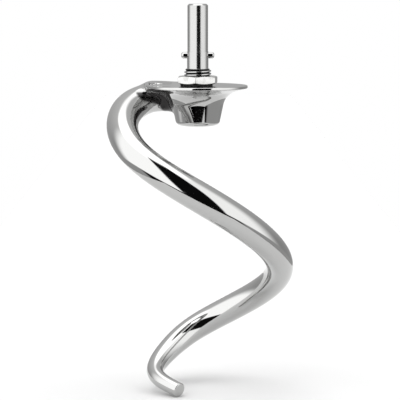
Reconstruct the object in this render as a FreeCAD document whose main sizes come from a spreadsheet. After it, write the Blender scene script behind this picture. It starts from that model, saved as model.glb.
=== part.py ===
# Spiral dough hook for a planetary stand mixer, in millimetres.
#
# A drive shaft with a cross pin hangs in the mixer's socket. Its lower end is threaded into a
# trumpet-shaped dish, a lock nut with a sealing ring holds the height, and a tapering rod winds
# down from the dish in a left-handed spiral.
# +Z is up, along the shaft. The origin is on the shaft's axis at the shoulder below its ground
# shank, level with the top of the cross pin.
import FreeCAD, Part
import math
import os
import re

import Sketcher
from FreeCAD import Placement, Rotation, Vector

SIZES = {
    # drive shaft
    "shank_radius": 5.25,  # ground end that the mixer's socket holds
    "shank_length": 24.2,  # shoulder to the top end
    "shank_chamfer": 0.8,
    "shoulder_step": 0.2,  # how far the collar stands out past the shank
    "collar_length": 8.7,
    "thread_radius": 6.9,  # over the crests
    "thread_depth": 0.9,
    "thread_crest_width": 0.3,
    "thread_pitch": 1.5,
    "thread_length": 21.0,
    "thread_chamfer": 0.6,
    "running_clearance": 0.05,  # between the thread's crests and what turns on it
    # cross pin
    "pin_radius": 1.6,
    "pin_gap": 0.3,  # from the shoulder down to the pin
    "pin_length": 16.8,
    "pin_dome": 1.2,
    # lock nut and the ring under it
    "nut_flats": 19.0,
    "nut_height": 4.0,
    "nut_gap": 3.7,  # thread left bare above the nut
    "nut_face_inset": 0.4,  # from the flats in to where the chamfer starts
    "nut_chamfer_angle": 22.0,
    "nut_turn": -7.0,  # where a corner stops when the nut is tight
    "mouth_chamfer": 0.3,  # at the mouths of the threaded holes
    "seal_width": 0.75,
    "seal_height": 0.8,
    "seal_round": 0.25,
    # dish
    "dish_radius": 25.5,
    "rim_thickness": 1.4,
    "rim_round": 0.4,
    "throat_flare": 3.2,  # from the neck's foot out to where the rim's slope would meet the neck's
    "throat_corner_depth": 4.7,
    "throat_round": 9.0,
    "neck_radius": 11.0,  # at the foot of the neck
    "neck_depth": 20.0,
    "neck_round": 2.6,
    "crown_radius": 42.0,  # of the domed underside
    "thread_hole_depth": 17.0,
    # spiral rod
    "root_depth": 7.3,  # middle of the rod's root below the dish's top
    "root_wall": 2.25,  # metal left between the threaded hole and the rod's inner end
    "coil_reach": 44.0,  # radius of the coil, to the middle of the rod
    "coil_fall": 147.5,  # from the middle of the root to the middle of the tip
    "tip_chamfer": 0.6,
}

# The rod's path from root to tip: turn about the axis in degrees, reach as a share of
# coil_reach, fall as a share of coil_fall, and the rod's thickness.
STATIONS = [
    (122, 0.20, 0.000, 13.2),
    (145, 0.40, 0.000, 13.2),
    (165, 0.60, 0.000, 13.2),
    (180, 0.755, 0.022, 16.2),
    (225, 1.055, 0.152, 15.0),
    (270, 0.99, 0.304, 15.3),
    (315, 0.985, 0.451, 14.9),
    (360, 0.955, 0.598, 14.1),
    (405, 0.868, 0.729, 14.0),
    (450, 0.686, 0.834, 13.5),
    (495, 0.522, 0.909, 11.4),
    (540, 0.500, 0.959, 8.9),
    (600, 0.443, 1.000, 7.6),
]
STATION_SIZES = ("turn", "reach", "fall", "thickness")
SECTIONS_PER_SPAN = 4

SCRATCH_CELL = "D1"  # where value() works an expression out

DISH_TOP = "0 - collar_length - nut_gap - nut_height - seal_height"
COLLAR_RADIUS = "(shank_radius + shoulder_step)"
HOLE_RADIUS = "(thread_radius + running_clearance)"
NUT_FACE_RADIUS = "(nut_flats / 2 - nut_face_inset)"
THROAT_RADIUS = "(neck_radius + throat_flare)"

doc = FreeCAD.newDocument("dough_hook")
sheet = doc.addObject("Spreadsheet::Sheet", "sizes")
for number, station in enumerate(STATIONS):
    for name, share in zip(STATION_SIZES, station):
        SIZES[f"station_{name}_{number}"] = share
for row, (name, size) in enumerate(SIZES.items(), start=1):
    sheet.set(f"A{row}", name)
    sheet.set(f"B{row}", str(size))
    sheet.setAlias(f"B{row}", name)
doc.recompute()


def tied(expression):
    """The expression with every size in it read from the sheet."""
    names = re.compile(r"[a-z_]\w+")
    return names.sub(lambda word: f"sizes.{word[0]}" if word[0] in SIZES else word[0], expression)


def value(expression):
    """What the expression comes to with the sheet's present sizes."""
    sheet.set(SCRATCH_CELL, f"={expression}")
    sheet.recompute()
    return float(sheet.get(SCRATCH_CELL))


def origin_plane(body, role):
    return next(f for f in body.Origin.OriginFeatures if f.Role == role)


def hold(sketch, kind, line, point, expression):
    """Holds one end of a line at a distance from the sketch's origin, or on its axis for "0"."""
    if expression == "0":
        axis = -2 if kind == "DistanceX" else -1
        sketch.addConstraint(Sketcher.Constraint("PointOnObject", line, point, axis))
        return
    constraint = Sketcher.Constraint(kind, -1, 1, line, point, value(expression))
    sketch.setExpression(f"Constraints[{sketch.addConstraint(constraint)}]", tied(expression))


def outline(body, name, corners, closed=True):
    """A sketch of straight lines through the corners, each a pair of expressions (radius, height)."""
    sketch = body.newObject("Sketcher::SketchObject", name)
    sketch.AttachmentSupport = (origin_plane(body, "XZ_Plane"), [""])
    sketch.MapMode = "FlatFace"
    points = [Vector(value(x), value(y), 0) for x, y in corners]
    count = len(points) if closed else len(points) - 1
    for line in range(count):
        sketch.addGeometry(Part.LineSegment(points[line], points[(line + 1) % len(points)]), False)
        x, y = corners[line]
        hold(sketch, "DistanceX", line, 1, x)
        hold(sketch, "DistanceY", line, 1, y)
    for line in range(count if closed else count - 1):
        sketch.addConstraint(Sketcher.Constraint("Coincident", line, 2, (line + 1) % count, 1))
    if not closed:
        x, y = corners[-1]
        hold(sketch, "DistanceX", count - 1, 2, x)
        hold(sketch, "DistanceY", count - 1, 2, y)
    return sketch


def turned(body, name, sketch):
    """The sketch revolved about the body's Z axis."""
    feature = body.newObject("PartDesign::Revolution", name)
    feature.Profile = sketch
    feature.ReferenceAxis = (sketch, ["V_Axis"])
    feature.Angle = 360
    sketch.Visibility = False
    doc.recompute()
    return feature


def rounded(body, name, base, radius, wanted):
    """Fillets the base feature's circular edges for which wanted(edge radius, edge height) holds."""
    edges = [
        f"Edge{number}"
        for number, edge in enumerate(base.Shape.Edges, start=1)
        if not edge.Degenerated
        and isinstance(edge.Curve, Part.Circle)
        and wanted(edge.Curve.Radius, edge.Curve.Center.z)
    ]
    feature = body.newObject("PartDesign::Fillet", name)
    feature.Base = (base, edges)
    feature.setExpression("Radius", tied(radius))
    doc.recompute()
    return feature


def new_body(label):
    body = doc.addObject("PartDesign::Body", label)
    body.Label = label
    return body


def near(number, expression):
    return abs(number - value(expression)) < 1e-4


# ---- drive shaft: ground shank, collar and a threaded foot
def make_drive_shaft():
    body = new_body("drive_shaft")
    thread_end = "(0 - collar_length - thread_length)"
    corners = [
        ("0", "shank_length"),
        ("shank_radius - shank_chamfer", "shank_length"),
        ("shank_radius", "shank_length - shank_chamfer"),
        ("shank_radius", "0"),
        (COLLAR_RADIUS, "0"),
        (COLLAR_RADIUS, "0 - collar_length"),
        ("thread_radius - thread_depth", "0 - collar_length"),
    ]
    turns = math.floor(value("(thread_length - thread_chamfer) / thread_pitch") + 1e-6)
    for turn in range(turns):
        top = f"0 - collar_length - {turn} * thread_pitch"
        corners += [
            ("thread_radius", f"{top} - (thread_pitch - thread_crest_width) / 2"),
            ("thread_radius", f"{top} - (thread_pitch + thread_crest_width) / 2"),
            ("thread_radius - thread_depth", f"{top} - thread_pitch"),
        ]
    corners += [
        ("thread_radius - thread_depth", thread_end),
        ("0", thread_end),
    ]
    turned(body, "shaft_turning", outline(body, "shaft_outline", corners))

    hole = body.newObject("Sketcher::SketchObject", "pin_hole_outline")
    hole.AttachmentSupport = (origin_plane(body, "YZ_Plane"), [""])
    hole.MapMode = "FlatFace"
    radius = value("pin_radius")
    level = -radius - value("pin_gap")
    hole.addGeometry(Part.Circle(Vector(0, level, 0), Vector(0, 0, 1), radius), False)
    hole.addConstraint(Sketcher.Constraint("PointOnObject", 0, 3, -2))
    depth = hole.addConstraint(Sketcher.Constraint("DistanceY", -1, 1, 0, 3, level))
    hole.setExpression(f"Constraints[{depth}]", tied("0 - pin_radius - pin_gap"))
    width = hole.addConstraint(Sketcher.Constraint("Radius", 0, radius))
    hole.setExpression(f"Constraints[{width}]", tied("pin_radius"))
    drilled = body.newObject("PartDesign::Pocket", "pin_hole")
    drilled.Profile = hole
    drilled.Type = "ThroughAll"
    drilled.Midplane = True
    hole.Visibility = False
    doc.recompute()
    return body


# ---- cross pin: a plain pin with domed ends, pressed through the shaft along X
def make_cross_pin():
    body = new_body("cross_pin")
    pin = body.newObject("PartDesign::AdditiveCylinder", "pin_bar")
    pin.setExpression("Radius", tied("pin_radius"))
    pin.setExpression("Height", tied("pin_length"))
    doc.recompute()
    rounded(body, "pin_domes", pin, "pin_dome", lambda radius, height: True)
    body.Placement = Placement(Vector(), Rotation(Vector(0, 1, 0), 90))
    body.setExpression("Placement.Base.x", tied("0 - pin_length / 2"))
    body.setExpression("Placement.Base.z", tied("0 - pin_radius - pin_gap"))
    return body


# ---- lock nut: a turned blank with chamfered faces, cut to a hexagon
def make_lock_nut():
    blank = new_body("nut_blank")
    hole = HOLE_RADIUS
    outer = "(nut_flats * 0.6)"  # a little outside the corners
    drop = f"({outer} - {NUT_FACE_RADIUS}) * tan(nut_chamfer_angle * 1 deg)"
    corners = [
        (hole, "mouth_chamfer"),
        (f"{hole} + mouth_chamfer", "0"),
        (NUT_FACE_RADIUS, "0"),
        (outer, drop),
        (outer, f"nut_height - {drop}"),
        (NUT_FACE_RADIUS, "nut_height"),
        (f"{hole} + mouth_chamfer", "nut_height"),
        (hole, "nut_height - mouth_chamfer"),
    ]
    turned(blank, "nut_turning", outline(blank, "nut_outline", corners))

    hexagon = doc.addObject("Part::Prism", "nut_hexagon")
    hexagon.Polygon = 6
    hexagon.setExpression("Circumradius", tied("nut_flats / sqrt(3)"))
    hexagon.setExpression("Height", tied("nut_height"))

    nut = doc.addObject("Part::Common", "lock_nut")
    nut.Base = blank
    nut.Tool = hexagon
    nut.Label = "lock_nut"
    nut.Placement = Placement(Vector(), Rotation(Vector(0, 0, 1), value("nut_turn - 90")))
    nut.setExpression("Placement.Base.z", tied("0 - collar_length - nut_gap - nut_height"))
    return nut


# ---- sealing ring: a soft ring between the nut and the dish
def make_sealing_ring():
    body = new_body("sealing_ring")
    outer = f"{HOLE_RADIUS} + seal_width"
    corners = [(HOLE_RADIUS, "0"), (outer, "0"), (outer, "seal_height"), (HOLE_RADIUS, "seal_height")]
    ring = turned(body, "ring_turning", outline(body, "ring_outline", corners))
    rounded(body, "ring_edges", ring, "seal_round", lambda radius, height: near(radius, outer))
    body.setExpression("Placement.Base.z", tied(DISH_TOP))
    return body


# ---- dish: flat top, thin rim, trumpet throat and a domed foot, drilled and tapped from above
def make_dish():
    body = new_body("dish")
    hole = HOLE_RADIUS
    corners = [
        ("0", "0 - thread_hole_depth"),
        (hole, "0 - thread_hole_depth"),
        (hole, "0 - mouth_chamfer"),
        (f"{hole} + mouth_chamfer", "0"),
        ("dish_radius", "0"),
        ("dish_radius", "0 - rim_thickness"),
        (THROAT_RADIUS, "0 - throat_corner_depth"),
        ("neck_radius", "0 - neck_depth"),
    ]
    sketch = outline(body, "dish_outline", corners, closed=False)
    last = len(corners) - 2
    rim, crown = value("neck_radius"), value("crown_radius")
    lean = math.asin(rim / crown)
    middle = Vector(0, crown * math.cos(lean) - value("neck_depth"), 0)
    bottom, hole_end = Vector(0, middle.y - crown, 0), Vector(0, -value("thread_hole_depth"), 0)
    underside = Part.Arc(
        bottom,
        middle + Vector(crown * math.sin(lean / 2), -crown * math.cos(lean / 2), 0),
        Vector(rim, -value("neck_depth"), 0),
    )
    arc = sketch.addGeometry(underside, False)
    axis = sketch.addGeometry(Part.LineSegment(bottom, hole_end), False)
    sketch.addConstraint(Sketcher.Constraint("Coincident", arc, 2, last, 2))
    sketch.addConstraint(Sketcher.Constraint("Coincident", arc, 1, axis, 1))
    sketch.addConstraint(Sketcher.Constraint("Coincident", axis, 2, 0, 1))
    sketch.addConstraint(Sketcher.Constraint("PointOnObject", arc, 1, -2))
    sketch.addConstraint(Sketcher.Constraint("PointOnObject", arc, 3, -2))
    radius = sketch.addConstraint(Sketcher.Constraint("Radius", arc, crown))
    sketch.setExpression(f"Constraints[{radius}]", tied("crown_radius"))
    dish = turned(body, "dish_turning", sketch)

    throat = rounded(
        body, "throat", dish, "throat_round", lambda radius, height: near(height, "0 - throat_corner_depth")
    )
    foot = rounded(body, "foot", throat, "neck_round", lambda radius, height: near(height, "0 - neck_depth"))
    rounded(body, "rim", foot, "rim_round", lambda radius, height: near(radius, "dish_radius"))
    body.setExpression("Placement.Base.z", tied(DISH_TOP))
    return body


# ---- spiral rod: round sections carried down the path, thinning towards the tip
def round_section(centre, along, radius):
    """The control points of a circle square to the path, from its lowest point: four on it, four round it."""
    side = Vector(0, 0, 1).cross(along).normalize()
    up = along.cross(side)
    points = []
    for eighth in range(9):
        reach = radius if eighth % 2 == 0 else radius * math.sqrt(2)
        angle = math.radians(45 * eighth - 90)
        points.append(centre + side * (reach * math.cos(angle)) + up * (reach * math.sin(angle)))
    return points


def skinned(rows):
    """A capped solid through a row of round sections."""
    steps = list(range(len(rows)))
    rails = []
    for points in zip(*rows):
        rail = Part.BSplineCurve()
        rail.interpolate(Points=list(points), Parameters=steps)
        rails.append(rail)
    first = rails[0]
    poles = [list(row) for row in zip(*(rail.getPoles() for rail in rails))]
    weights = [[1 if eighth % 2 == 0 else math.sqrt(0.5) for eighth in range(9)] for row in poles]
    skin = Part.BSplineSurface()
    skin.buildFromPolesMultsKnots(
        poles, first.getMultiplicities(), [3, 2, 2, 2, 3], first.getKnots(), [0, 1, 2, 3, 4],
        False, False, first.Degree, 2, weights,
    )
    ends = [Part.Face(Part.Wire(skin.uIso(step).toShape())) for step in (steps[0], steps[-1])]
    shell = Part.makeShell([skin.toShape()] + ends)
    shell.sewShape()
    return Part.makeSolid(shell)


def make_spiral_rod(dish):
    turns, centres, widths = [], [], []
    for number in range(len(STATIONS)):
        turn, reach, fall, thickness = (value(f"station_{name}_{number}") for name in STATION_SIZES)
        angle = math.radians(turn)
        reach *= value("coil_reach")
        depth = value("root_depth") + fall * value("coil_fall")
        turns.append(turn)
        centres.append(Vector(reach * math.cos(angle), reach * math.sin(angle), value(DISH_TOP) - depth))
        widths.append(Vector(thickness, turn, 0))
    path, taper = Part.BSplineCurve(), Part.BSplineCurve()
    path.interpolate(Points=centres, Parameters=turns)
    taper.interpolate(Points=widths, Parameters=turns)

    sections = []
    for start, end in zip(turns, turns[1:]):
        sections += [start + (end - start) * step / SECTIONS_PER_SPAN for step in range(SECTIONS_PER_SPAN)]
    sections.append(turns[-1])
    rod = skinned(
        [round_section(path.value(turn), path.tangent(turn)[0], taper.value(turn).x / 2) for turn in sections]
    )

    end = turns[-1]
    radius, chamfer = taper.value(end).x / 2, value("tip_chamfer")
    tip = Part.makeCone(radius, radius - chamfer, chamfer, path.value(end), path.tangent(end)[0])
    # the root is coped to the dish, which it is welded to, and stays clear of the threaded hole
    deep = value("dish_radius")
    seat = value(f"{HOLE_RADIUS} + root_wall")
    core = Part.makeCylinder(seat, 2 * deep, Vector(0, 0, value(DISH_TOP) - deep))
    feature = doc.addObject("Part::Feature", "spiral_rod")
    feature.Label = "spiral_rod"
    feature.Shape = rod.fuse(tip).cut(core).cut(dish.Shape)
    return feature


drive_shaft = make_drive_shaft()
cross_pin = make_cross_pin()
lock_nut = make_lock_nut()
sealing_ring = make_sealing_ring()
dish = make_dish()
doc.recompute()
spiral_rod = make_spiral_rod(dish)
sheet.clear(SCRATCH_CELL)
doc.recompute()

nodes = [drive_shaft, cross_pin, lock_nut, sealing_ring, dish, spiral_rod]
for item in doc.Objects:
    if "Invalid" in item.State or "Error" in item.State:
        raise RuntimeError(f"{item.Label} failed: {item.State}")
os.makedirs("parts", exist_ok=True)
for node in nodes:
    shape = node.Shape
    if shape.isNull() or not shape.isValid() or len(shape.Solids) != 1:
        raise RuntimeError(f"{node.Label} isn't one valid solid")
    shape.exportStep(f"parts/{node.Label}.step")
    print(f"{node.Label}: {shape.Volume / 1000:.2f} cm3, {len(shape.Faces)} faces")
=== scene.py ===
import math

import bpy
import numpy as np
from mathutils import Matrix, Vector


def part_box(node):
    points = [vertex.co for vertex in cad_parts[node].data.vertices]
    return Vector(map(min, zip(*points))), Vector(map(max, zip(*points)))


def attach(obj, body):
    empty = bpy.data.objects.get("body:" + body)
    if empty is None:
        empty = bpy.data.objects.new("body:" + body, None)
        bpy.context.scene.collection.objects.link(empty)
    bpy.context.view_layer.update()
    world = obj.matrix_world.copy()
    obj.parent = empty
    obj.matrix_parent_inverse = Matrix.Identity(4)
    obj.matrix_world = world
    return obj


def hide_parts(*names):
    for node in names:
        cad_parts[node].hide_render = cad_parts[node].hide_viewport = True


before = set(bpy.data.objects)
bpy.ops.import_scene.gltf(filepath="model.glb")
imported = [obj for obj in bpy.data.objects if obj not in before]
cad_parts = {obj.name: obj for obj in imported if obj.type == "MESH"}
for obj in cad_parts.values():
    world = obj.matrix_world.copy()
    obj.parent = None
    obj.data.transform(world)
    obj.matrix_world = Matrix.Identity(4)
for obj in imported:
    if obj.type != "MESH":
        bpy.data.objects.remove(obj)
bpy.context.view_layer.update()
mm = 0.001
print("frame loaded:", ", ".join(sorted(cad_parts)))


# heights that every piece is hung from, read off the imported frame, in millimetres
def lowAndHigh(node):
    low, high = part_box(node)
    return low.z / mm, high.z / mm


shaftFoot, shaftTop = lowAndHigh("drive_shaft")
nutBottom, nutTop = lowAndHigh("lock_nut")
ringBottom, ringTop = lowAndHigh("sealing_ring")
dishTop = ringBottom
pinLow, pinHigh = (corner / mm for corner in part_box("cross_pin"))
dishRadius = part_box("dish")[1].x / mm
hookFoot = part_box("spiral_rod")[0].z / mm


# surfaces
def addSurface(name, points, body, node, finish, closedEnds=True):
    # a surface from a grid of points in millimetres: one index runs along it and the other
    # runs round it and closes; each open end is brought to a pole in its own middle
    rows, columns = points.shape[:2]
    vertices = points.reshape(-1, 3)
    along, around = np.meshgrid(np.arange(rows - 1), np.arange(columns), indexing="ij")
    nextAround = (around + 1) % columns
    quads = np.stack(
        [along * columns + around, along * columns + nextAround,
         (along + 1) * columns + nextAround, (along + 1) * columns + around], axis=-1
    ).reshape(-1, 4)
    faces = [quads]
    if closedEnds:
        here = np.arange(columns)
        after = (here + 1) % columns
        poles = np.array([points[0].mean(0), points[-1].mean(0)])
        vertices = np.vstack([vertices, poles])
        first, last = rows * columns, rows * columns + 1
        base = (rows - 1) * columns
        faces.append(np.stack([np.full(columns, first), after, here], axis=-1))
        faces.append(np.stack([np.full(columns, last), base + here, base + after], axis=-1))
    # the signed volume tells whether the faces point outwards
    volume = 0.0
    for group in faces:
        for corner in range(1, group.shape[1] - 1):
            a, b, c = (vertices[group[:, place]] for place in (0, corner, corner + 1))
            volume += np.einsum("ij,ij->i", a, np.cross(b, c)).sum()
    if volume < 0:
        faces = [group[:, ::-1] for group in faces]
    mesh = bpy.data.meshes.new(name)
    mesh.from_pydata(
        (vertices * mm).tolist(), [], [face for group in faces for face in group.tolist()]
    )
    mesh.validate()
    mesh.polygons.foreach_set("use_smooth", np.ones(len(mesh.polygons), bool))
    mesh.materials.append(finish)
    piece = bpy.data.objects.new(name, mesh)
    bpy.context.scene.collection.objects.link(piece)
    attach(piece, body)
    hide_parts(node)
    print("made", name)
    return piece


def roundedOutline(corners, runStep=1.5, arcSteps=10):
    # a line through corners (radius, height, rounding): each rounding is an arc tangent to both
    # runs, and each run is divided evenly, with close pairs at its ends so that flats stay flat
    corners = np.array(corners, float)
    places = corners[:, :2]
    starts, ends, arcs = [places[0]], [], []
    for before, here, after, rounding in zip(places[:-2], places[1:-1], places[2:], corners[1:-1, 2]):
        back, onward = before - here, after - here
        back, onward = back / np.linalg.norm(back), onward / np.linalg.norm(onward)
        half = math.acos(np.clip(back @ onward, -1, 1)) / 2
        rounding = max(rounding, 0.02)
        reach = rounding / math.tan(half)
        middle = here + (back + onward) / np.linalg.norm(back + onward) * rounding / math.sin(half)
        entry, leave = here + back * reach, here + onward * reach
        a, b = entry - middle, leave - middle
        opening = math.acos(np.clip(a @ b / (rounding * rounding), -1, 1))
        share = np.linspace(0, 1, arcSteps + 1)[:, None]
        arc = (a * np.sin((1 - share) * opening) + b * np.sin(share * opening)) / math.sin(opening)
        ends.append(entry)
        arcs.append(middle + arc)
        starts.append(leave)
    ends.append(places[-1])
    line = []
    for number, (start, end) in enumerate(zip(starts, ends)):
        length = np.linalg.norm(end - start)
        if length > 1e-6:
            pad = min(0.08 / length, 0.2)
            steps = max(int(length / runStep), 1)
            share = np.concatenate([[0, pad], np.linspace(0, 1, steps + 1)[1:-1], [1 - pad, 1]])
            share = share[(share <= pad) | (share >= 1 - pad) | ((share > 2 * pad) & (share < 1 - 2 * pad))]
            line.append(start + (end - start) * share[:, None])
        if number < len(arcs):
            line.append(arcs[number][1:-1])
    return np.vstack(line)


def turnedGrid(outline, columns, top=0.0):
    # the outline's (radius, height) turned about the Z axis
    turn = np.linspace(0, 2 * math.pi, columns, endpoint=False)
    radius, height = outline[:, :1], outline[:, 1:] + top
    return np.stack(
        [radius * np.cos(turn), radius * np.sin(turn), np.broadcast_to(height, (len(outline), columns))],
        axis=-1,
    )


# materials
def newMaterial(name):
    material = bpy.data.materials.new(name)
    material.use_nodes = True
    return material, material.node_tree.nodes, material.node_tree.links


def ranged(nodes, links, value, low, high):
    # a soft step, 0 up to low and 1 from high on
    step = nodes.new("ShaderNodeMapRange")
    step.interpolation_type = "SMOOTHSTEP"
    step.inputs["From Min"].default_value = low
    step.inputs["From Max"].default_value = high
    links.new(value, step.inputs["Value"])
    return step.outputs["Result"]


def makeHandlingMarks():
    # smudges that dull a finish here and there, a grain left by grinding or brushing, the slow
    # waviness of hand polishing, and dull spots half the size of the smudges; puts out a
    # roughness, a height in metres and a mask of the spots
    group = bpy.data.node_groups.new("handlingMarks", "ShaderNodeTree")
    sockets = [
        ("Vector", "NodeSocketVector"), ("Stretch", "NodeSocketVector"),
        ("Base Roughness", "NodeSocketFloat"), ("Smudge", "NodeSocketFloat"),
        ("Smudge Scale", "NodeSocketFloat"), ("Grain Depth", "NodeSocketFloat"),
        ("Wave Depth", "NodeSocketFloat"), ("Wave Scale", "NodeSocketFloat"),
    ]
    for name, kind in sockets:
        group.interface.new_socket(name, in_out="INPUT", socket_type=kind)
    for name in ("Roughness", "Height", "Spots"):
        group.interface.new_socket(name, in_out="OUTPUT", socket_type="NodeSocketFloat")
    nodes, links = group.nodes, group.links
    given, result = nodes.new("NodeGroupInput"), nodes.new("NodeGroupOutput")

    def noise(vector, scale, detail):
        node = nodes.new("ShaderNodeTexNoise")
        node.inputs["Detail"].default_value = detail
        links.new(vector, node.inputs["Vector"])
        if isinstance(scale, float):
            node.inputs["Scale"].default_value = scale
        else:
            links.new(scale, node.inputs["Scale"])
        return node.outputs["Fac"]

    def madd(a, b, c):
        node = nodes.new("ShaderNodeMath")
        node.operation = "MULTIPLY_ADD"
        for socket, value in zip(node.inputs, (a, b, c)):
            if isinstance(value, float):
                socket.default_value = value
            else:
                links.new(value, socket)
        return node.outputs[0]

    smudgeFrom, smudgeTo = 0.45, 0.72
    smudges = noise(given.outputs["Vector"], given.outputs["Smudge Scale"], 4.0)
    dulled = ranged(nodes, links, smudges, smudgeFrom, smudgeTo)
    rough = madd(dulled, given.outputs["Smudge"], given.outputs["Base Roughness"])
    links.new(rough, result.inputs["Roughness"])
    spotsFrom, spotsTo = 0.4, 0.7
    spots = noise(given.outputs["Vector"], madd(given.outputs["Smudge Scale"], 2.0, 0.0), 2.0)
    links.new(ranged(nodes, links, spots, spotsFrom, spotsTo), result.inputs["Spots"])
    stretched = nodes.new("ShaderNodeVectorMath")
    stretched.operation = "MULTIPLY"
    links.new(given.outputs["Vector"], stretched.inputs[0])
    links.new(given.outputs["Stretch"], stretched.inputs[1])
    grain = madd(noise(stretched.outputs[0], 1.0, 2.0), given.outputs["Grain Depth"], 0.0)
    wave = noise(given.outputs["Vector"], given.outputs["Wave Scale"], 1.0)
    links.new(madd(wave, given.outputs["Wave Depth"], grain), result.inputs["Height"])
    return group


handlingMarks = makeHandlingMarks()


def marked(nodes, links, look):
    # the marks of one finish, put on its surface as roughness and as a small relief
    surface = nodes["Principled BSDF"]
    place = nodes.new("ShaderNodeTexCoord")
    marks = nodes.new("ShaderNodeGroup")
    marks.node_tree = handlingMarks
    links.new(place.outputs["Object"], marks.inputs["Vector"])
    for socket in marks.inputs:
        if socket.name in look:
            socket.default_value = look[socket.name]
    relief = nodes.new("ShaderNodeBump")
    relief.inputs["Distance"].default_value = 1.0
    links.new(marks.outputs["Roughness"], surface.inputs["Roughness"])
    links.new(marks.outputs["Height"], relief.inputs["Height"])
    links.new(relief.outputs["Normal"], surface.inputs["Normal"])
    return surface, place, marks.outputs["Spots"]


def shaded(nodes, links, clean, dark, mask, surface):
    # the clean colour turning dark where the mask is 1
    mix = nodes.new("ShaderNodeMix")
    mix.data_type = "RGBA"
    mix.inputs["A"].default_value = clean
    mix.inputs["B"].default_value = dark
    links.new(mask, mix.inputs["Factor"])
    links.new(mix.outputs["Result"], surface.inputs["Base Color"])


polish = {
    "colour": (0.48, 0.48, 0.475, 1),
    "creaseColour": (0.035, 0.034, 0.034, 1),  # painted shade: the weld crease darkened to stand in for the dark reflection there
    "Stretch": (300.0, 300.0, 300.0),
    "Base Roughness": 0.035,
    "Smudge": 0.05,
    "Smudge Scale": 70.0,
    "Grain Depth": 0.0000006,
    "Wave Depth": 0.00008,
    "Wave Scale": 55.0,
}


def polishedSteel():
    material, nodes, links = newMaterial("polishedSteel")
    surface, _, _ = marked(nodes, links, polish)
    surface.inputs["Metallic"].default_value = 1.0
    # painted shade: the base colour turns dark where the crease mask is 1
    creaseShadeMask = nodes.new("ShaderNodeAttribute")
    creaseShadeMask.attribute_name = "creaseShadeMask"
    shaded(nodes, links, polish["colour"], polish["creaseColour"], creaseShadeMask.outputs["Fac"], surface)
    return material


ground = {
    "colour": (0.42, 0.42, 0.415, 1),
    "greaseColour": (0.012, 0.012, 0.012, 1),  # painted shade in the thread's roots
    "crestFrom": 0.0067,  # radius where the thread comes out of the painted shade, and where it is clear of it
    "crestTo": 0.0069,
    "greaseFade": 0.0001,  # height over which the painted shade begins below the collar
    "Stretch": (40.0, 40.0, 6000.0),  # rings left by the turning tool
    "Base Roughness": 0.16,
    "Smudge": 0.06,
    "Smudge Scale": 120.0,
    "Grain Depth": 0.0000008,
    "Wave Depth": 0.00001,
    "Wave Scale": 60.0,
}


def groundSteel(threadTop):
    material, nodes, links = newMaterial("groundSteel")
    surface, place, _ = marked(nodes, links, ground)
    surface.inputs["Metallic"].default_value = 1.0
    split = nodes.new("ShaderNodeSeparateXYZ")
    links.new(place.outputs["Object"], split.inputs["Vector"])
    flat = nodes.new("ShaderNodeCombineXYZ")
    links.new(split.outputs["X"], flat.inputs["X"])
    links.new(split.outputs["Y"], flat.inputs["Y"])
    radius = nodes.new("ShaderNodeVectorMath")
    radius.operation = "LENGTH"
    links.new(flat.outputs["Vector"], radius.inputs[0])
    onCrest = ranged(nodes, links, radius.outputs["Value"], ground["crestFrom"], ground["crestTo"])
    above = ranged(nodes, links, split.outputs["Z"], threadTop - ground["greaseFade"], threadTop)
    unshaded = nodes.new("ShaderNodeMath")
    unshaded.operation = "MAXIMUM"
    links.new(onCrest, unshaded.inputs[0])
    links.new(above, unshaded.inputs[1])
    # painted shade: the thread's roots below the collar turn dark, the crests and the collar keep the steel's
    # colour
    shaded(nodes, links, ground["greaseColour"], ground["colour"], unshaded.outputs[0], surface)
    return material


satin = {
    "colour": (0.62, 0.62, 0.61, 1),
    "dullColour": (0.50, 0.50, 0.49, 1),
    "Stretch": (2600.0, 2600.0, 90.0),  # upright brush marks on the nut's sides
    "Base Roughness": 0.27,
    "Smudge": 0.10,
    "Smudge Scale": 160.0,
    "Grain Depth": 0.000012,
    "Wave Depth": 0.00001,
    "Wave Scale": 90.0,
}


def satinSteel():
    material, nodes, links = newMaterial("satinSteel")
    surface, _, spots = marked(nodes, links, satin)
    surface.inputs["Metallic"].default_value = 1.0
    shaded(nodes, links, satin["colour"], satin["dullColour"], spots, surface)
    return material


rubber = {
    "colour": (0.012, 0.012, 0.012, 1),
    "dullColour": (0.03, 0.03, 0.029, 1),
    "Stretch": (3000.0, 3000.0, 3000.0),
    "Base Roughness": 0.5,
    "Smudge": 0.2,
    "Smudge Scale": 300.0,
    "Grain Depth": 0.00001,
    "Wave Depth": 0.00001,
    "Wave Scale": 200.0,
}


def blackRubber():
    material, nodes, links = newMaterial("blackRubber")
    surface, _, spots = marked(nodes, links, rubber)
    shaded(nodes, links, rubber["colour"], rubber["dullColour"], spots, surface)
    return material


steel = polishedSteel()
print("polished steel ready")

# drive shaft: ground shank, collar and a right-hand thread
shaft = {
    "shankRadius": 5.25,
    "collarRadius": 5.45,
    "collarLength": 8.7,
    "threadRadius": 6.9,
    "threadDepth": 0.9,
    "pitch": 1.5,
    "crest": 0.3,  # shares of the pitch that set how wide the crest and the root are
    "root": 0.1,
    "topChamfer": 0.8,
    "footChamfer": 0.6,
    "relief": 0.15,  # plain root below the collar, where the thread has not begun
    "columns": 128,
    "threadStep": 0.05,
}


def threadHeight(phase):
    # 0 at the root and 1 at the crest of a 60 degree thread, as a rounded trapezoid of the phase
    ramp = (0.5 - np.abs(phase % 1.0 - 0.5)) * 2
    rise = np.clip((ramp - shaft["root"]) / (1 - shaft["crest"] - shaft["root"]), 0, 1)
    return rise * rise * (3 - 2 * rise)


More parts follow.
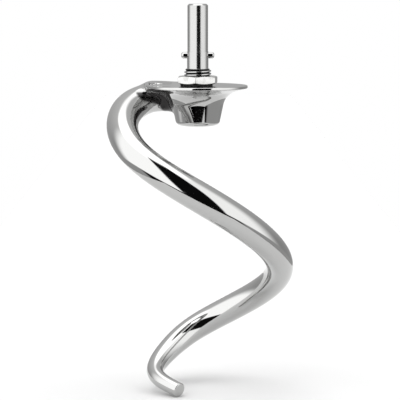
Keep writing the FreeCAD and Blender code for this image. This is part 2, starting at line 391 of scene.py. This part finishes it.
def makeShaft():
    # an outline turned about the axis, whose threaded rows are then drawn outwards by the ridge
    root = shaft["threadRadius"] - shaft["threadDepth"]
    shank, collar, chamfer = shaft["shankRadius"], shaft["collarRadius"], shaft["topChamfer"]
    collarFoot = -shaft["collarLength"]
    threadStart, threadEnd = collarFoot - shaft["relief"], shaftFoot + shaft["footChamfer"]
    upper = roundedOutline([
        (0.3, shaftTop, 0), (shank - chamfer, shaftTop, 0.25), (shank, shaftTop - chamfer, 0.35),
        (shank, 0, 0.03), (collar, 0, 0.04), (collar, collarFoot, 0.05),
        (root, collarFoot, 0.1), (root, threadStart, 0),
    ])
    steps = int((threadStart - threadEnd) / shaft["threadStep"])
    heights = np.linspace(threadStart, threadEnd, steps)[1:]
    middle = np.stack([np.full(len(heights), root), heights], axis=-1)
    lower = roundedOutline([
        (root, threadEnd, 0), (root - shaft["footChamfer"], shaftFoot, 0.1), (0.3, shaftFoot, 0),
    ])[1:]
    outline = np.vstack([upper, middle, lower])
    grid = turnedGrid(outline, shaft["columns"])
    turn = np.linspace(0, 2 * math.pi, shaft["columns"], endpoint=False)
    height = outline[:, 1:]
    # the ridge climbs one pitch in a turn; it grows over two thirds of a pitch below the collar
    # and dies away over 0.6 mm above the foot's chamfer
    phase = height / shaft["pitch"] - turn / (2 * math.pi)
    ramp = np.clip((collarFoot - 0.1 - height) / shaft["pitch"] * 1.6, 0, 1)
    ramp = ramp * np.clip((height - shaftFoot - 0.5) / 0.6, 0, 1)
    out = 1 + threadHeight(phase) * ramp * shaft["threadDepth"] / root
    grid[:, :, :2] *= out[:, :, None]
    finish = groundSteel(collarFoot * mm)
    return addSurface("driveShaft", grid, "shaft", "drive_shaft", finish)


makeShaft()

# cross pin with domed ends
crossPin = {"dome": 1.1, "columns": 48}


def makeCrossPin():
    # a rounded bar's outline turned about its own length
    radius = (pinHigh.z - pinLow.z) / 2
    dome = crossPin["dome"]
    outline = roundedOutline([
        (0.05, pinLow.x, 0), (radius, pinLow.x, dome), (radius, pinHigh.x, dome), (0.05, pinHigh.x, 0),
    ])
    turned = turnedGrid(outline, crossPin["columns"])
    # laid along X, at the height of the frame's pin
    grid = np.stack([turned[:, :, 2], turned[:, :, 1], turned[:, :, 0] + (pinLow.z + pinHigh.z) / 2], axis=-1)
    return addSurface("crossPin", grid, "shaft", "cross_pin", steel)


makeCrossPin()

# lock nut: a hexagon met by a chamfer cone at each face
nut = {
    "flats": 19.0,
    "faceRadius": 9.1,
    "chamferSlope": 0.40,
    "bore": 6.95,
    "mouth": 0.3,
    "edge": 0.12,  # softness of the hexagon's edges
    "cornerTurn": -97.0,
    "columns": 360,
    "rows": 40,
}


def softLeast(a, b, softness):
    # the lesser of two numbers, rounded over where they are nearly equal
    near = np.clip(softness - np.abs(a - b), 0, None) / softness
    return np.minimum(a, b) - near * near * softness / 4


def makeNut():
    # at each turn and level the wall stands at the lesser of the hexagon's side and the cone; rings
    # of rows then close the two faces and the bore
    height = nutTop - nutBottom
    turn = np.linspace(0, 2 * math.pi, nut["columns"], endpoint=False)
    fromFlat = (turn - math.radians(nut["cornerTurn"])) % (math.pi / 3) - math.pi / 6
    # each side is a plane; near a corner the two sides that meet there are blended
    near = nut["flats"] / 2 / np.cos(fromFlat)
    far = nut["flats"] / 2 / np.cos(math.pi / 3 - np.abs(fromFlat))
    sides = softLeast(near, far, nut["edge"])
    rise = np.linspace(0, 1, nut["rows"])
    level = height * (0.5 - 0.5 * np.cos(math.pi * rise))[:, None]
    cone = nut["faceRadius"] + np.minimum(level, height - level) / nut["chamferSlope"]
    outside = softLeast(np.broadcast_to(sides, (nut["rows"], nut["columns"])), cone, nut["edge"])
    walls = [(outside, level)]
    mouth = nut["bore"] + nut["mouth"]
    faceRadii = np.array([nut["faceRadius"] - 0.1, 8.6, 8.0, mouth + 0.05, mouth])[:, None]
    boreRadii = np.array([nut["bore"] + 0.02, nut["bore"], nut["bore"], nut["bore"] + 0.02])[:, None]
    boreLevels = np.array([height - nut["mouth"], height - 0.5, 0.5, nut["mouth"]])[:, None]
    walls.append((faceRadii, np.full((5, 1), height)))
    walls.append((boreRadii, boreLevels))
    walls.append((faceRadii[::-1], np.zeros((5, 1))))
    shape = [np.broadcast_arrays(radius, level, turn[None, :]) for radius, level in walls]
    radius, level, turns = (np.vstack(parts) for parts in zip(*shape))
    grid = np.stack([radius * np.cos(turns), radius * np.sin(turns), level + nutBottom], axis=-1)
    grid = np.vstack([grid, grid[:1]])
    return addSurface("lockNut", grid, "nut", "lock_nut", satinSteel(), closedEnds=False)


makeNut()

# sealing ring
ring = {"inner": 6.95, "outer": 7.7, "rounding": 0.3, "columns": 128}


def makeRing():
    # a rounded section turned about the axis and closed on itself
    inner, outer = ring["inner"], ring["outer"]
    middle = (inner + outer) / 2
    loop = roundedOutline([
        (middle, ringTop, 0), (outer, ringTop, ring["rounding"]), (outer, ringBottom, ring["rounding"]),
        (inner, ringBottom, 0.1), (inner, ringTop, 0.1), (middle, ringTop, 0),
    ])
    grid = turnedGrid(loop, ring["columns"])
    finish = blackRubber()
    return addSurface("sealingRing", grid, "seal", "sealing_ring", finish, closedEnds=False)


makeRing()

# dish and spiral rod, run into each other at the weld
dish = {
    "rimThickness": 1.4,
    "rimRound": 0.45,
    "throatRadius": 14.2,
    "throatDepth": 4.7,
    "throatRound": 9.0,
    "neckRadius": 11.0,
    "neckDepth": 20.0,
    "neckRound": 2.6,
    "crownRadius": 42.0,
    "bore": 6.95,
    "boreDepth": 17.0,
    "mouth": 0.3,
    "columns": 320,
}
rod = {
    # turn about the axis in degrees, distance from it, depth below the dish's top, thickness
    "stations": [
        (122, 8.8, 7.3, 13.2), (145, 17.6, 7.3, 13.4), (165, 26.4, 7.3, 15.0), (180, 33.2, 10.5, 16.2),
        (225, 46.4, 29.7, 15.0), (270, 43.6, 52.1, 15.3), (315, 43.3, 73.8, 14.9), (360, 42.0, 95.5, 14.1),
        (405, 38.2, 114.8, 14.0), (450, 30.2, 130.3, 13.5), (495, 23.0, 141.4, 11.4), (540, 22.0, 148.8, 8.9),
        (600, 19.5, 154.8, 7.6),
    ],
    "fineSteps": 4000,
    "rows": 700,
    "columns": 112,
    "tipRound": 0.7,
}
weld = {
    "fillet": 7.0,  # how far from the joint the two surfaces begin to run together
    "overlap": 1.6,  # how far each runs on under the other
    "sink": 0.1,
    "side": -18.0,  # middle of the region that the weld reaches, and its half width
    "depth": 12.0,
    "reach": 24.0,
    "pathSteps": 900,  # steps of the rod's path, and how many of them from the root are near the dish
    "nearSteps": 200,
    "rodShadeReach": 7.5,  # how far out of the crease the painted shade goes on each piece, and where it fades
    "dishShadeReach": 4.0,
    "creaseShadeFade": 1.5,
    "creaseShadeTop": 2.5,  # depth below the dish's top where the painted shade begins
}


def dishOutline():
    # the hole's outline from its floor up to the mouth, and the outside's from the mouth round the
    # rim, down the throat and neck and under the domed crown
    crownDrop = dish["crownRadius"] - math.sqrt(dish["crownRadius"] ** 2 - dish["neckRadius"] ** 2)
    bottom = -dish["neckDepth"]
    outer = roundedOutline([
        (dish["bore"] + dish["mouth"], 0, 0), (dishRadius, 0, dish["rimRound"]),
        (dishRadius, -dish["rimThickness"], dish["rimRound"]),
        (dish["throatRadius"], -dish["throatDepth"], dish["throatRound"]),
        (dish["neckRadius"], bottom, dish["neckRound"]),
        (dish["neckRadius"] * 0.5, bottom - crownDrop * 0.75, 6.0), (0.3, bottom - crownDrop, 0),
    ], runStep=0.5, arcSteps=24)
    inner = roundedOutline([
        (0.3, -dish["boreDepth"], 0), (dish["bore"], -dish["boreDepth"], 0.2),
        (dish["bore"], -dish["mouth"], 0.05), (dish["bore"] + dish["mouth"], 0, 0),
    ])[:-1]
    return inner, outer


def splineThrough(knots, values, at):
    # a natural cubic spline: its second derivatives solve one banded set of equations
    gap = np.diff(knots)
    count = len(knots)
    system = np.eye(count)
    rhs = np.zeros((count, values.shape[1]))
    slope = np.diff(values, axis=0) / gap[:, None]
    inner = np.arange(1, count - 1)
    system[inner, inner - 1] = gap[:-1]
    system[inner, inner] = 2 * (gap[:-1] + gap[1:])
    system[inner, inner + 1] = gap[1:]
    rhs[1:-1] = 6 * (slope[1:] - slope[:-1])
    bend = np.linalg.solve(system, rhs)
    span = np.clip(np.searchsorted(knots, at) - 1, 0, count - 2)
    width = gap[span][:, None]
    right = ((at - knots[span]) / gap[span])[:, None]
    left = 1 - right
    return (
        left * values[span] + right * values[span + 1]
        + ((left ** 3 - left) * bend[span] + (right ** 3 - right) * bend[span + 1]) * width ** 2 / 6
    )


def rodPath(rows):
    # the middle of the rod and its radius, at even lengths along it
    table = np.array(rod["stations"], float)
    turn = np.radians(table[:, 0])
    places = np.stack([
        table[:, 1] * np.cos(turn), table[:, 1] * np.sin(turn), dishTop - table[:, 2], table[:, 3] / 2
    ], axis=-1)
    fine = np.linspace(table[0, 0], table[-1, 0], rod["fineSteps"])
    path = splineThrough(table[:, 0], places, fine)
    length = np.concatenate([[0], np.cumsum(np.linalg.norm(np.diff(path[:, :3], axis=0), axis=1))])
    even = np.linspace(0, length[-1], rows)
    path = np.stack([np.interp(even, length, path[:, axis]) for axis in range(4)], axis=-1)
    return path[:, :3], path[:, 3]


def rodGrid():
    # circles square to the path, the last ones drawn in over a rounded end
    centre, radius = rodPath(rod["rows"])
    along = np.gradient(centre, axis=0)
    along /= np.linalg.norm(along, axis=1)[:, None]
    tip = roundedOutline([
        (radius[-1], 0, 0), (radius[-1], rod["tipRound"], rod["tipRound"] * 0.95), (0.2, rod["tipRound"], 0)
    ], runStep=0.6)[1:]
    centre = np.vstack([centre, centre[-1] + along[-1] * tip[:, 1:]])
    radius = np.concatenate([radius, tip[:, 0]])
    along = np.vstack([along, np.tile(along[-1], (len(tip), 1))])
    side = np.cross([0, 0, 1], along)
    side /= np.linalg.norm(side, axis=1)[:, None]
    up = np.cross(along, side)
    turn = np.linspace(0, 2 * math.pi, rod["columns"], endpoint=False)
    ringOut = side[:, None, :] * np.cos(turn)[:, None] + up[:, None, :] * np.sin(turn)[:, None]
    return centre[:, None, :] + ringOut * radius[:, None, None]


def distanceToRod(points):
    # distance from the path less the rod's radius there, and the way in which it grows
    centre, radius = rodPath(weld["pathSteps"])
    centre, radius = centre[:weld["nearSteps"]], radius[:weld["nearSteps"]]
    gap = np.linalg.norm(points[:, None, :] - centre, axis=2) - radius
    nearest = gap.argmin(axis=1)
    away = points - centre[nearest]
    return gap.min(axis=1), away / np.linalg.norm(away, axis=1)[:, None]


def distanceToDish(points):
    # distance from the turned outline, negative inside it, ignoring the threaded hole, and the
    # way in which it grows
    outline = np.vstack([[0, 0], dishOutline()[1][::3], [0, dishOutline()[1][-1, 1]]])
    outward = np.hypot(points[:, 0], points[:, 1])
    place = np.stack([outward, points[:, 2] - dishTop], axis=-1)
    start, run = outline[:-1], np.diff(outline, axis=0)
    offset = place[:, None, :] - start
    share = np.clip((offset * run).sum(2) / np.maximum((run * run).sum(1), 1e-12), 0, 1)
    apart = offset - share[:, :, None] * run
    nearest = np.linalg.norm(apart, axis=2).argmin(axis=1)
    apart = apart[np.arange(len(points)), nearest]
    gap = np.linalg.norm(apart, axis=1)
    above = start[:, 1] > place[:, 1:]
    crossing = above != ((start + run)[:, 1] > place[:, 1:])
    rise = np.where(np.abs(run[:, 1]) < 1e-12, 1e-12, run[:, 1])
    meets = start[:, 0] + (place[:, 1:] - start[:, 1]) / rise * run[:, 0]
    inside = (crossing & (place[:, :1] < meets)).sum(axis=1) % 2 == 1
    sign = np.where(inside, -1, 1)
    normal = np.stack([run[nearest, 1], -run[nearest, 0]], axis=-1)
    normal /= np.maximum(np.linalg.norm(normal, axis=1), 1e-12)[:, None]
    normal *= np.sign((normal * apart).sum(1) * sign + 1e-15)[:, None]
    away = np.where(gap[:, None] > 1e-3, apart * sign[:, None] / np.maximum(gap, 1e-9)[:, None], normal)
    flat = points[:, :2] / np.maximum(outward, 1e-9)[:, None]
    return gap * sign, np.column_stack([flat * away[:, :1], away[:, 1]])


def blended(points):
    # the lesser of the two distances, rounded over near the joint, and the way in which it grows
    one, oneWay = distanceToDish(points)
    two, twoWay = distanceToRod(points)
    share = (np.clip(weld["fillet"] - np.abs(one - two), 0, None) / weld["fillet"])[:, None] / 2
    least = (one < two)[:, None]
    way = np.where(least, oneWay, twoWay) * (1 - share) + np.where(least, twoWay, oneWay) * share
    return softLeast(one, two, weld["fillet"]), way


def drawToWeld(grid, other):
    # moves the points near the other piece out along the slope of the blended distance until they
    # lie on the joint surface of both; points inside the other piece stay a little under it
    points = grid.reshape(-1, 3).copy()
    around = np.abs(points - [weld["side"], 0, dishTop - weld["depth"]]).max(axis=1) < weld["reach"]
    around = np.flatnonzero(around)
    gap = other(points[around])[0]
    close = (gap < weld["fillet"]) & (gap > -weld["overlap"])
    near = around[close]
    target = -weld["sink"] * np.clip(-gap[close], 0, None) ** 2
    for _ in range(6):
        level, way = blended(points[near])
        steep = np.maximum((way * way).sum(1), 0.2)
        points[near] -= way * ((level - target) / steep)[:, None]
    return points.reshape(grid.shape)


def paintCreaseShade(piece, other, reach):
    # a mask of painted shade on the piece's points, 1 in the crease and 0 a little way out of it
    mesh = piece.data
    points = np.empty(len(mesh.vertices) * 3)
    mesh.vertices.foreach_get("co", points)
    points = points.reshape(-1, 3) / mm
    gap = other(points)[0]
    low = np.clip((dishTop - weld["creaseShadeTop"] - points[:, 2]) / weld["creaseShadeFade"], 0, 1)
    mask = np.clip((reach - gap) / weld["creaseShadeFade"], 0, 1) * low
    mask = mask * mask * (3 - 2 * mask)
    mesh.attributes.new("creaseShadeMask", "FLOAT", "POINT").data.foreach_set("value", mask)


def makeDish():
    inner, outer = dishOutline()
    outside = turnedGrid(outer, dish["columns"], dishTop)
    outside = drawToWeld(outside, distanceToRod)
    grid = np.vstack([turnedGrid(inner, dish["columns"], dishTop), outside])
    piece = addSurface("trumpetDish", grid, "hook", "dish", steel)
    # painted shade in the weld crease on the dish's side
    paintCreaseShade(piece, distanceToRod, weld["dishShadeReach"])
    return piece


def makeRod():
    grid = drawToWeld(rodGrid(), distanceToDish)
    piece = addSurface("spiralRod", grid, "hook", "spiral_rod", steel)
    # painted shade in the weld crease on the rod's side
    paintCreaseShade(piece, distanceToDish, weld["rodShadeReach"])
    return piece


makeDish()
makeRod()

# floor: a pale table top that ends some way in front of the hook
table = {"width": 340.0, "front": 260.0, "back": 2500.0, "colour": (0.76, 0.76, 0.76, 1), "roughness": 0.7}


def makeTable():
    side = table["width"] / 2
    corners = np.array([
        (-side, -table["front"], hookFoot), (side, -table["front"], hookFoot),
        (side, table["back"], hookFoot), (-side, table["back"], hookFoot),
    ])
    mesh = bpy.data.meshes.new("tableTop")
    mesh.from_pydata((corners * mm).tolist(), [], [(0, 1, 2, 3)])
    finish, nodes, links = newMaterial("paleTable")
    surface = nodes["Principled BSDF"]
    surface.inputs["Base Color"].default_value = table["colour"]
    surface.inputs["Roughness"].default_value = table["roughness"]
    surface.inputs["Specular IOR Level"].default_value = 0.2
    mesh.materials.append(finish)
    top = bpy.data.objects.new("tableTop", mesh)
    bpy.context.scene.collection.objects.link(top)


makeTable()

# camera
view = {
    "distance": 969.0,
    "rise": 3.2,  # degrees above the dish's top
    "aimSide": 1.15,
    "aimDepth": 59.0,  # below the dish's top
    "lens": 170.7,
}


def makeCamera():
    rise = math.radians(view["rise"])
    place = Vector((0, -view["distance"], dishTop + view["distance"] * math.tan(rise))) * mm
    aim = Vector((view["aimSide"], 0, dishTop - view["aimDepth"])) * mm
    data = bpy.data.cameras.new("camera")
    data.lens = view["lens"]
    data.sensor_width = 36
    data.clip_start, data.clip_end = 0.01, 50
    camera = bpy.data.objects.new("camera", data)
    bpy.context.scene.collection.objects.link(camera)
    camera.location = place
    camera.rotation_euler = (aim - place).to_track_quat("-Z", "Y").to_euler()
    bpy.context.scene.camera = camera


makeCamera()

# light: a studio drawn on the sky, with a dark gap between two wide lamps and one above
studio = {
    "leftLamp": 1.95,
    "rightLamp": 1.75,
    "overhead": 2.5,
    "backLeft": 0.5,
    "backRight": 0.42,
    "backClimb": 0.007,  # how much lighter the back gets for each degree up
    "under": 0.5,  # beside and below the table
    "gap": 0.006,
    # places on the sky in degrees; turn 0 is in front of the hook and grows to its right
    "leftEdge": (-100.0, 34.0),  # middle of a soft edge and its width
    "rightEdge": (96.0, 46.0),
    "leftFoot": -20.0,
    "rightFoot": -14.0,
    "overheadRise": (60.0, 8.0),
    "gapLeft": (-12.0, 0.12),  # turn at the horizon, and how much it shifts for each degree up
    "gapRight": (32.0, 0.2),
    "gapTop": 66.0,
    "underGap": (-10.0, 57.0),  # middle and half width of the dark below the gap
    "softness": 4.0,
}


def makeStudio():
    world = bpy.data.worlds.new("studio")
    bpy.context.scene.world = world
    world.use_nodes = True
    nodes, links = world.node_tree.nodes, world.node_tree.links
    sky = nodes["Background"]
    sky.inputs["Color"].default_value = (1, 1, 1, 1)

    def worked(operation, *inputs):
        node = nodes.new("ShaderNodeMath")
        node.operation = operation
        for number, value in enumerate(inputs):
            if isinstance(value, (int, float)):
                node.inputs[number].default_value = value
            else:
                links.new(value, node.inputs[number])
        return node.outputs[0]

    def beyond(value, edge, softness=studio["softness"]):
        # 0 below the edge and 1 above it, with a soft step between
        step = nodes.new("ShaderNodeMapRange")
        step.interpolation_type = "SMOOTHSTEP"
        step.inputs["From Min"].default_value = -softness / 2
        step.inputs["From Max"].default_value = softness / 2
        links.new(worked("SUBTRACT", value, edge), step.inputs["Value"])
        return step.outputs["Result"]

    def mixed(under, over, mask):
        # under where the mask is 0, over where it is 1
        keep = worked("SUBTRACT", 1.0, mask)
        return worked("ADD", worked("MULTIPLY", under, keep), worked("MULTIPLY", over, mask))

    place = nodes.new("ShaderNodeTexCoord")
    split = nodes.new("ShaderNodeSeparateXYZ")
    links.new(place.outputs["Generated"], split.inputs["Vector"])
    east, north, up = split.outputs
    turn = worked("DEGREES", worked("ARCTAN2", east, worked("MULTIPLY", north, -1.0)))
    rise = worked("DEGREES", worked("ARCSINE", up))
    onRight = beyond(turn, 0.0)

    light = mixed(studio["backLeft"], studio["backRight"], onRight)
    light = worked("MULTIPLY_ADD", worked("MAXIMUM", rise, 0.0), studio["backClimb"], light)
    lamps = worked("SUBTRACT", beyond(turn, *studio["leftEdge"]), beyond(turn, *studio["rightEdge"]))
    light = mixed(light, mixed(studio["leftLamp"], studio["rightLamp"], onRight), lamps)
    foot = mixed(studio["leftFoot"], studio["rightFoot"], onRight)
    underMiddle, underHalf = studio["underGap"]
    aside = beyond(worked("ABSOLUTE", worked("SUBTRACT", turn, underMiddle)), underHalf, 12.0)
    light = mixed(worked("MULTIPLY", aside, studio["under"]), light, beyond(rise, foot))
    light = mixed(light, studio["overhead"], beyond(rise, *studio["overheadRise"]))
    left, leftLean = studio["gapLeft"]
    right, rightLean = studio["gapRight"]
    gap = worked(
        "MULTIPLY",
        beyond(turn, worked("MULTIPLY_ADD", rise, leftLean, left)),
        beyond(worked("MULTIPLY_ADD", rise, rightLean, right), turn),
    )
    gap = worked("MULTIPLY", gap, beyond(studio["gapTop"], rise, 8.0))
    light = mixed(light, studio["gap"], gap)

    # the ground behind the hook is plain white
    seen = nodes.new("ShaderNodeLightPath").outputs["Is Camera Ray"]
    links.new(mixed(light, 1.0, seen), sky.inputs["Strength"])


makeStudio()
bpy.context.scene.view_settings.view_transform = "Standard"
print("floor, camera and studio ready")
